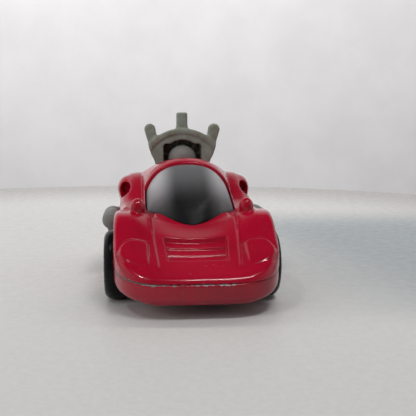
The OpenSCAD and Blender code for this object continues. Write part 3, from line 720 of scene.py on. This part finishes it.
def lathe(profile, segments, axis="x"):
    """Turned vertices and faces from (along, radius) points, closed at the ends where the radius is zero."""
    verts, faces = [], []
    rings = []
    for along, radius in profile:
        if radius <= 1e-6:
            rings.append([len(verts)])
            verts.append((along, 0.0, 0.0))
            continue
        ring = []
        for i in range(segments):
            a = 2 * math.pi * i / segments
            ring.append(len(verts))
            verts.append((along, radius * math.cos(a), radius * math.sin(a)))
        rings.append(ring)
    closed = profile[0] == profile[-1]
    if closed:
        rings[-1] = rings[0]
    for one, two in zip(rings, rings[1:]):
        for i in range(segments):
            j = (i + 1) % segments
            if len(one) == 1:
                faces.append((one[0], two[j], two[i]))
            elif len(two) == 1:
                faces.append((one[i], one[j], two[0]))
            else:
                faces.append((one[i], one[j], two[j], two[i]))
    if closed:
        used = sorted({v for f in faces for v in f})
        number = {v: i for i, v in enumerate(used)}
        verts = [verts[v] for v in used]
        faces = [tuple(number[v] for v in f) for f in faces]
    verts = np.array(verts)
    if axis == "y":
        verts = np.stack([verts[:, 1], verts[:, 0], -verts[:, 2]], axis=1)
    return verts, faces


def arc(centre, radius, start, end, count):
    """Points on an arc in (along, radius) terms; angles in degrees from the along axis."""
    return [(centre[0] + radius * math.cos(math.radians(a)), centre[1] + radius * math.sin(math.radians(a)))
            for a in np.linspace(start, end, count)]


def cone_object():
    low, high = node_box("nose_cone")
    radius = high[0]
    base = TURBINE_Y + 1.9
    profile = [(base + 4.9, 0.0), (base + 4.9, 0.9), (base + 0.6, 1.0), (base + 0.5, radius - 0.25)]
    profile += [(base + 0.3, radius - 0.05), (base, radius)]
    nose = low[1] + 0.02
    for u in np.linspace(0.08, 1, 14):
        profile.append((base + (nose - base) * u, radius * math.sqrt(max(0.0, 1 - u ** 2.1))))
    profile[-1] = (nose, 0.0)
    verts, faces = lathe(profile, 48, axis="y")
    verts[:, 2] += DUCT_Z
    return new_object("nose_cone_turned", verts, faces, CONE_GREY)


POD_RADIUS = 2.1
POD_ROOT = 14.2


def pod_object(name, side):
    low = (POD_ROOT - 0.6, POD_LOW[1] - 0.5, POD_LOW[2] - 0.5)
    g = Grid(low, POD_HIGH + 0.5, 0.12)
    x, y, z = g.x, g.y, g.z
    cx, cz, r = POD_HIGH[0] - POD_RADIUS, POD_HIGH[2] - POD_RADIUS, POD_RADIUS
    front = POD_LOW[1] + r
    tube = np.sqrt((x - cx) ** 2 + (z - cz) ** 2) - r + 0.02 * np.maximum(y - front - 3, 0)
    ball = egg_field(x, y, z, (cx, front, cz), (r, r - 0.03, r))
    pod = join(np.maximum(tube, np.maximum(front - y, y - POD_HIGH[1] + 0.05)), ball, 0.05)
    ring = np.sqrt((x - cx) ** 2 + (z - cz) ** 2) - r + 0.28
    for along in (3.4, 7.2):
        groove = np.maximum(-ring, np.abs(y - POD_LOW[1] - along) - 0.22)
        pod = cut(pod, groove, 0.15)
    keel = box_field(x, y, z, (cx, front + 2.6, POD_LOW[2] + 1.3), (0.95, 2.6, 1.28), 0.4)
    slant = (z - POD_LOW[2]) * 0.8 + (y - front - 0.2) * 0.6 - 0.3
    keel = both(keel, -slant, 0.3)
    pod = join(pod, keel, 0.35)
    bore = np.maximum(np.sqrt((x - cx) ** 2 + (z - cz) ** 2) - 1.35, POD_HIGH[1] - 2.4 - y)
    pod = cut(pod, bore, 0.25)
    pod = both(pod, POD_ROOT - x, 0.2)
    verts, quads = keep_big_pieces(*surface_net(g, pod))
    if side < 0:
        verts = verts * np.array([-1, 1, 1])
        quads = quads[:, ::-1]
    return new_object(name, verts, quads, POD_GREY)


# ---- Wheels --------------------------------------------------------------------------

HUB_RADIUS = 4.1
TYRE_WIDTH = TYRE_HIGH[0] - TYRE_LOW[0]


def tyre_object(name, node, side):
    low, high = node_box(node)
    middle = (low[1] + high[1]) / 2
    inside = min(abs(low[0]), abs(high[0]))
    r = 1.6
    profile = [(0.35, HUB_RADIUS + 0.02), (0.12, HUB_RADIUS + 0.35)]
    profile += arc((r, TYRE_RADIUS - r), r, 180, 90, 9)
    profile += [(TYRE_WIDTH * 0.5, TYRE_RADIUS)]
    profile += arc((TYRE_WIDTH - r, TYRE_RADIUS - r), r, 90, 0, 9)
    profile += [(TYRE_WIDTH - 0.06, HUB_RADIUS + 0.35), (TYRE_WIDTH - 0.3, HUB_RADIUS + 0.06),
                (TYRE_WIDTH - 0.6, HUB_RADIUS + 0.02)]
    profile.append(profile[0])
    verts, faces = lathe(profile, 96)
    verts[:, 0] += inside
    verts[:, 1] += middle
    verts[:, 2] += TYRE_RADIUS
    if side < 0:
        verts[:, 0] *= -1
        faces = [f[::-1] for f in faces]
    return new_object(name, verts, [f[::-1] for f in faces], TYRE)


def hub_object(name, node, side):
    """Five-spoke wheel centre with a rolled rim and a domed cap."""
    low, high = node_box(node)
    reach = HUB_RADIUS + 0.4
    g = Grid((-0.8, -reach, -reach), (TYRE_WIDTH, reach, reach), 0.13)
    x, y, z = g.x, g.y, g.z
    radius = np.sqrt(y ** 2 + z ** 2)
    angle = np.arctan2(z, y)
    face = TYRE_WIDTH - 0.7
    disc = both(radius - HUB_RADIUS + 0.03, np.maximum(-x, x - face), 0.25)
    dish = both(np.maximum(radius - HUB_RADIUS + 0.65, face - 1.5 - x), 1.35 - radius, 0.3)
    spoke_angle = np.abs(np.mod(angle + math.pi / 5, 2 * math.pi / 5) - math.pi / 5)
    spoke = np.maximum(radius * np.sin(spoke_angle) - 0.6 - 0.06 * radius, x - face + 0.35 - 0.09 * radius)
    hub = cut(disc, cut(dish, spoke, 0.3), 0.3)
    cap = egg_field(x, y, z, (face - 0.1, 0, 0), (0.75, 1.25, 1.25))
    hub = join(hub, cap, 0.25)
    boss = np.maximum(radius - 1.7, np.maximum(-0.45 - x, x - 1))
    hub = join(hub, boss, 0.2)
    verts, quads = keep_big_pieces(*surface_net(g, hub))
    inside = min(abs(low[0]), abs(high[0])) + 0.5
    verts = verts + np.array([inside, (low[1] + high[1]) / 2, TYRE_RADIUS])
    if side < 0:
        verts = verts * np.array([-1, 1, 1])
        quads = quads[:, ::-1]
    return new_object(name, verts, quads, HUB)


# ---- Build and ride ------------------------------------------------------------------

def place(piece, body, node, slot):
    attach(piece, body)
    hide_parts(node)


place(body_object(), "chassis", "body_shell", "body_paint")
place(base_object(), "chassis", "base_pan", "base_paint")
place(canopy_object(), "chassis", "canopy", "smoked_plastic")
place(turbine_object(), "chassis", "turbine_cowl", "grey_plastic")
place(cone_object(), "chassis", "nose_cone", "grey_plastic")
for side_name, side_sign in (("left", -1), ("right", 1)):
    place(pod_object(f"pod_{side_name}", side_sign), "chassis", f"side_pod_{side_name}", "grey_plastic")
    for end in ("front", "rear"):
        tyre_node = f"{end}_tyre_{side_name}"
        tyre = tyre_object(f"{tyre_node}_moulded", tyre_node, side_sign)
        place(tyre, f"{end}_wheels", tyre_node, "tyre")
        hub_node = f"{end}_hub_{side_name}"
        hub = hub_object(f"{hub_node}_moulded", hub_node, side_sign)
        place(hub, f"{end}_wheels", hub_node, "hub_plastic")

CAD_LOOKS = {
    "interior_tub": BLACK, "front_axle": STEEL, "rear_axle": STEEL, "motor_case_left": MOTOR,
    "motor_case_right": MOTOR, "axle_gear": GEAR, "idler_gear": GEAR, "idler_shaft": STEEL,
    "barrel_gear": GEAR, "barrel_shaft": STEEL, "mainspring": SPRING, "motor_screws": STEEL,
    "base_rivets": STEEL,
}
for node_name, look in CAD_LOOKS.items():
    node_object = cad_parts[node_name]
    for material_slot in node_object.material_slots:
        material_slot.material = look


# ---- Stage, light and camera ----------------------------------------------------------

def plain(name, colour, roughness):
    m = Nodes(name, colour, roughness)
    cloud = m.noise(14, 4, 0.6, offset=1.5)
    m.set("Base Color", m.mix(m.ramp(cloud, 0.3, 0.7), colour, tuple(0.93 * c for c in colour)))
    return m.material


TABLE_RADIUS = 178
TABLE_CENTRE = (-16, 16)
TABLE_SIDES = 160
TABLE_THICKNESS = 14.0
TABLE_DROP = 0.02
TABLE_COLOUR = (0.57, 0.56, 0.545)
WALL_Y = 900
WALL_HALF = 3000
WALL_BOTTOM, WALL_TOP = -1500, 300


def turntable_look():
    """Pale, faintly grained top that darkens a little towards its rim, with painted cool shade along the
    car's right side.
    """
    m = Nodes("turntable_look", TABLE_COLOUR, 0.42, Specular_IOR_Level=0.3)
    side = m.ramp(m.math("ADD", m.axis("X"), m.math("MULTIPLY", m.axis("Y"), 0.25)), 5 * MM, 60 * MM)
    near = m.ramp(m.axis("Y"), -45 * MM, -25 * MM)
    far = m.ramp(m.axis("Y"), 60 * MM, 110 * MM, 1.0, 0.0)
    # Painted shade: a darker, cooler patch on the table along the car's right side.
    right_shade = m.math("MULTIPLY", m.math("MULTIPLY", side, near), far)
    colour = m.mix(right_shade, TABLE_COLOUR, (0.29, 0.32, 0.33))
    grain = m.noise(900, 2, 0.6, offset=3.0)
    colour = m.mix(m.ramp(grain, 0.3, 0.7, 0.0, 0.12), colour, (0.3, 0.3, 0.3))
    across = m.math("ADD", m.axis("X"), -TABLE_CENTRE[0] * MM)
    along = m.math("ADD", m.axis("Y"), -TABLE_CENTRE[1] * MM)
    away = m.math("SQRT", m.math("ADD", m.math("MULTIPLY", across, across), m.math("MULTIPLY", along, along)))
    rim = m.ramp(away, (TABLE_RADIUS - 70) * MM, TABLE_RADIUS * MM)
    m.set("Base Color", m.mix(rim, colour, (0.34, 0.325, 0.315)))
    specks = m.noise(420, 4, 0.6, offset=9.0)
    m.set("Roughness", m.ramp(specks, 0.3, 0.7, 0.34, 0.5))
    m.bump(grain, 0.02 * MM, 0.3)
    m.bump(specks, 0.09 * MM, 0.5)
    return m.material


def turntable_object():
    """Round table with a softened rim, its top just under the tyres."""
    profile = [(TABLE_RADIUS - 0.8, 0.0), (TABLE_RADIUS - 0.25, -0.2), (TABLE_RADIUS, -0.8),
               (TABLE_RADIUS, -TABLE_THICKNESS)]
    points = []
    for radius, z in profile:
        for i in range(TABLE_SIDES):
            angle = 2 * math.pi * i / TABLE_SIDES
            points.append((TABLE_CENTRE[0] + radius * math.cos(angle),
                           TABLE_CENTRE[1] + radius * math.sin(angle), z - TABLE_DROP))
    faces = [list(range(TABLE_SIDES))]
    for k in range(len(profile) - 1):
        upper, lower = k * TABLE_SIDES, (k + 1) * TABLE_SIDES
        for i in range(TABLE_SIDES):
            j = (i + 1) % TABLE_SIDES
            faces.append([upper + i, lower + i, lower + j, upper + j])
    return new_object("turntable", points, faces, turntable_look())


def back_wall_object():
    corners = [(-WALL_HALF, WALL_Y, WALL_BOTTOM), (WALL_HALF, WALL_Y, WALL_BOTTOM),
               (WALL_HALF, WALL_Y, WALL_TOP), (-WALL_HALF, WALL_Y, WALL_TOP)]
    return new_object("back_wall", corners, [[0, 1, 2, 3]], plain("wall_look", (0.74, 0.725, 0.73), 0.85))


for stage_object in (turntable_object(), back_wall_object()):
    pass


def area_light(name, place_mm, aim_mm, size_mm, power):
    data = bpy.data.lights.new(name, "AREA")
    data.shape = "RECTANGLE"
    data.size, data.size_y = size_mm[0] * MM, size_mm[1] * MM
    data.energy = power
    obj = bpy.data.objects.new(name, data)
    bpy.context.scene.collection.objects.link(obj)
    start, aim = (np.array(p, float) * MM for p in (place_mm, aim_mm))
    obj.location = start
    obj.rotation_euler = Vector(aim - start).to_track_quat("-Z", "Y").to_euler()
    return obj


area_light("streak_left", (-250, -210, 520), (0, 0, 0), (50, 36), 0.4)
area_light("streak_right", (130, -190, 520), (0, 0, 0), (230, 36), 1.0)
soft_left = area_light("soft_left", (-320, -230, 170), (0, -20, 8), (240, 200), 0.5)
soft_overhead = area_light("soft_overhead", (-80, 60, 620), (0, 0, 0), (600, 500), 0.35)
wall_wash = area_light("wall_wash", (-110, 380, 600), (-40, 900, 0), (1500, 300), 10.2)
for hidden_light in (soft_left, soft_overhead, wall_wash):
    hidden_light.visible_glossy = False

world = bpy.data.worlds.new("studio")
bpy.context.scene.world = world
world.use_nodes = True
sky = world.node_tree
background = sky.nodes["Background"]
background.inputs["Strength"].default_value = 1.0


def sky_node(kind, **settings):
    node = sky.nodes.new(kind)
    for key, value in settings.items():
        setattr(node, key, value)
    return node


direction = sky_node("ShaderNodeTexCoord")
split = sky_node("ShaderNodeSeparateXYZ")
sky.links.new(direction.outputs["Generated"], split.inputs[0])


def sky_range(value, low, high, out_low, out_high):
    node = sky_node("ShaderNodeMapRange", interpolation_type="SMOOTHSTEP")
    sky.links.new(value, node.inputs["Value"])
    for key, number in (("From Min", low), ("From Max", high), ("To Min", out_low), ("To Max", out_high)):
        node.inputs[key].default_value = number
    return node.outputs["Result"]


def sky_math(kind, a, b):
    node = sky_node("ShaderNodeMath", operation=kind)
    for socket, value in zip(node.inputs, (a, b)):
        if isinstance(value, bpy.types.NodeSocket):
            sky.links.new(value, socket)
        else:
            socket.default_value = value
    return node.outputs[0]


# A pale room that fades out between about 33 and 51 degrees up, and is darker behind the viewer
height = sky_range(split.outputs["Z"], 0.55, 0.78, 1.0, 0.05)
front = sky_range(split.outputs["Y"], -0.75, 0.1, 0.22, 1.0)
level = sky_math("MULTIPLY", sky_math("MULTIPLY", height, front), 0.6)
tint = sky_node("ShaderNodeCombineColor")
sky.links.new(level, tint.inputs[0])
sky.links.new(level, tint.inputs[1])
sky.links.new(sky_math("MULTIPLY", level, 1.02), tint.inputs[2])
sky.links.new(tint.outputs[0], background.inputs["Color"])

FOCAL_PIXELS = 776.6
FRAME_PIXELS = 416
SENSOR = 36.0
CAMERA_PLACE = (-11.36, NOSE_Y - 127.1, 36.0)
CAMERA_YAW = 5.57
CAMERA_PITCH = 7.48
camera_data = bpy.data.cameras.new("camera")
camera_data.sensor_width = SENSOR
camera_data.lens = FOCAL_PIXELS / FRAME_PIXELS * SENSOR
camera_data.clip_start = 0.005
camera_data.clip_end = 10
camera = bpy.data.objects.new("camera", camera_data)
bpy.context.scene.collection.objects.link(camera)
camera.location = [c * MM for c in CAMERA_PLACE]
camera.rotation_euler = (math.radians(90 - CAMERA_PITCH), 0, math.radians(-CAMERA_YAW))
bpy.context.scene.camera = camera
bpy.context.scene.view_settings.view_transform = "Standard"
